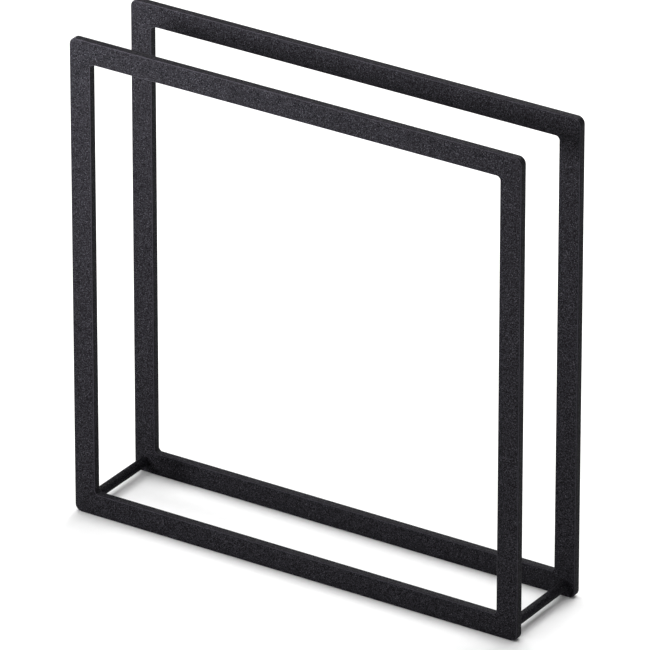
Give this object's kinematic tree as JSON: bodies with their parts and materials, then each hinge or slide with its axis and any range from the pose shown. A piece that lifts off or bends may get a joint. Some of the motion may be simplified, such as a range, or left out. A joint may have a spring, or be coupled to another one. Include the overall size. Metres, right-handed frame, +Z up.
{
  "type": "napkin holder",
  "caption": "Upright napkin holder: flat square ring frames stand parallel, joined at their bottom corners by slim round cross rods, in a fine textured black powder coat.",
  "frame": {"origin": "on the table, under the middle of the holder", "axes": "+X along the width of the square frames, +Y through the depth from the front frame to the rear frame, +Z up"},
  "size_m": [0.15, 0.0336, 0.15],
  "materials": {
    "frame_coat": "fine sand-textured black powder coat on steel plate",
    "rod_coat": "fine sand-textured black powder coat on round steel rod",
    "weld_coat": "black powder coat over a small smooth weld"
  },
  "bodies": {
    "root": {"front_frame": "frame_coat", "rear_frame": "frame_coat", "left_cross_rod": "rod_coat", "right_cross_rod": "rod_coat", "front_left_weld": "weld_coat", "front_right_weld": "weld_coat", "rear_left_weld": "weld_coat", "rear_right_weld": "weld_coat"}
  },
  "joints": []
}
